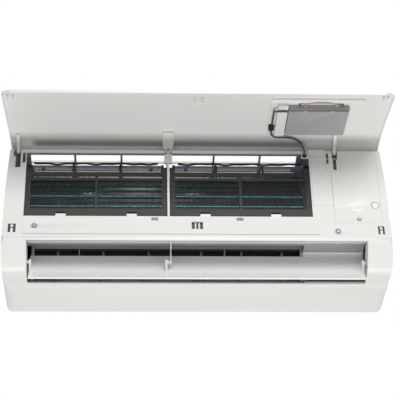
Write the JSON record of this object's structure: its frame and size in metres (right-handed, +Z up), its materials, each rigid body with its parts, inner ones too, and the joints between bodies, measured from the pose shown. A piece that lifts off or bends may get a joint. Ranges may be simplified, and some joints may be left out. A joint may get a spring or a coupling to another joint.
{
  "type": "mini split indoor unit",
  "caption": "Wall-mounted mini split indoor unit, front panel swung up and air flap open, with filters, coils, cross-flow fan and louvres.",
  "frame": {"origin": "on the wall, on the back face of the wall plate, 150 mm above the underside, half way along the unit", "axes": "+X along the unit to the viewer's right, front faces -Y, +Z up"},
  "size_m": [0.722, 0.3538, 0.2997],
  "materials": {
    "case_white": "semi-gloss moulded",
    "inner_white": "satin moulded",
    "display_grey": "satin moulded",
    "duct_grey": "satin moulded",
    "fan_dark": "matt moulded",
    "filter_dark": "matt moulded",
    "net": "woven mesh",
    "steel": "zinc coated",
    "fins": "blue-grey coated fins",
    "copper": "bare copper tube",
    "rubber": "matt",
    "board": "lacquered",
    "black_plastic": "satin",
    "lead_dark": "satin sheath",
    "lead_light": "satin sheath"
  },
  "bodies": {
    "body": {"wall_plate": "steel", "rear_casing": "inner_white", "front_frame": "case_white", "top_grille": "case_white", "drain_pan": "duct_grey", "terminal_cover": "case_white", "control_cover": "case_white", "electrical_box": "inner_white", "control_board": "board", "terminal_block": "black_plastic", "coil_front_lower": "fins", "coil_front_lower_end_left": "copper", "coil_front_upper": "fins", "coil_front_upper_end_left": "copper", "coil_rear": "fins", "coil_rear_end_left": "copper", "fan_motor": "steel", "motor_bracket": "inner_white", "fan_bearing": "rubber", "flap_motor": "inner_white", "centre_support": "inner_white", "vane_frame": "duct_grey", "hinge_lead": "lead_dark", "lead_grommet": "rubber", "screw_left": "steel", "screw_right": "steel", "screw_cover": "steel"},
    "panel": {"front_panel": "case_white", "panel_centre_hinge": "case_white", "display_bracket": "case_white", "display_case": "display_grey", "display_lead": "lead_dark", "display_wire_dark": "lead_dark", "display_wire_light": "lead_light", "lead_clip": "black_plastic"},
    "flap": {"air_flap": "case_white"},
    "fan": {"cross_flow_fan": "fan_dark", "motor_shaft": "steel"},
    "button": {"manual_button": "case_white"},
    "filter_left": {"filter_frame_left": "filter_dark", "filter_net_left": "net"},
    "filter_right": {"filter_frame_right": "filter_dark", "filter_net_right": "net"},
    "vane_1": {"vane_1": "duct_grey"},
    "vane_2": {"vane_2": "duct_grey"},
    "vane_3": {"vane_3": "duct_grey"},
    "vane_4": {"vane_4": "duct_grey"},
    "vane_5": {"vane_5": "duct_grey"},
    "vane_6": {"vane_6": "duct_grey"},
    "link_left": {"vane_link_left": "inner_white"},
    "link_right": {"vane_link_right": "inner_white"}
  },
  "joints": [
    {"name": "panel_hinge", "type": "hinge", "parent": "body", "child": "panel", "pos_m": [0, -0.153, 0.12], "axis": [1, 0, 0], "range_deg": [0, 82], "deforming": ["hinge_lead"]},
    {"name": "flap_hinge", "type": "hinge", "parent": "body", "child": "flap", "pos_m": [0, -0.14, -0.1135], "axis": [1, 0, 0], "range_deg": [-90, 0]},
    {"name": "fan_spin", "type": "hinge", "parent": "body", "child": "fan", "pos_m": [0, -0.076, -0.028], "axis": [1, 0, 0], "continuous": true},
    {"name": "button_press", "type": "slide", "parent": "body", "child": "button", "axis": [0, 1, 0], "range_m": [0, 0.002], "stiffness_N_per_m": 400, "springref_m": -0.002},
    {"name": "filter_left_slide", "type": "slide", "parent": "body", "child": "filter_left", "axis": [0, 0.9659, 0.2588], "range_m": [-0.26, 0]},
    {"name": "filter_right_slide", "type": "slide", "parent": "body", "child": "filter_right", "axis": [0, 0.9659, 0.2588], "range_m": [-0.26, 0]},
    {"name": "vane_1_turn", "type": "hinge", "parent": "body", "child": "vane_1", "pos_m": [-0.26036, -0.098, 0], "axis": [0, 0, 1], "range_deg": [-16, 44]},
    {"name": "vane_2_turn", "type": "hinge", "parent": "body", "child": "vane_2", "pos_m": [-0.17504, -0.098, 0], "axis": [0, 0, 1], "range_deg": [-16, 44]},
    {"name": "vane_3_turn", "type": "hinge", "parent": "body", "child": "vane_3", "pos_m": [-0.08972, -0.098, 0], "axis": [0, 0, 1], "range_deg": [-16, 44]},
    {"name": "link_left_pivot", "type": "hinge", "parent": "vane_1", "child": "link_left", "pos_m": [-0.25794, -0.0883, -0.083], "axis": [0, 0, 1], "range_deg": [-44, 16]},
    {"name": "vane_4_turn", "type": "hinge", "parent": "body", "child": "vane_4", "pos_m": [0.00964, -0.098, 0], "axis": [0, 0, 1], "range_deg": [-16, 44]},
    {"name": "vane_5_turn", "type": "hinge", "parent": "body", "child": "vane_5", "pos_m": [0.08605, -0.098, 0], "axis": [0, 0, 1], "range_deg": [-16, 44]},
    {"name": "vane_6_turn", "type": "hinge", "parent": "body", "child": "vane_6", "pos_m": [0.16246, -0.098, 0], "axis": [0, 0, 1], "range_deg": [-16, 44]},
    {"name": "link_right_pivot", "type": "hinge", "parent": "vane_4", "child": "link_right", "pos_m": [0.01206, -0.0883, -0.083], "axis": [0, 0, 1], "range_deg": [-44, 16]}
  ],
  "couplings": [
    {"joint": "vane_2_turn", "follows": "vane_1_turn", "ratio": 1},
    {"joint": "vane_3_turn", "follows": "vane_1_turn", "ratio": 1},
    {"joint": "link_left_pivot", "follows": "vane_1_turn", "ratio": -1},
    {"joint": "vane_5_turn", "follows": "vane_4_turn", "ratio": 1},
    {"joint": "vane_6_turn", "follows": "vane_4_turn", "ratio": 1},
    {"joint": "link_right_pivot", "follows": "vane_4_turn", "ratio": -1}
  ]
}
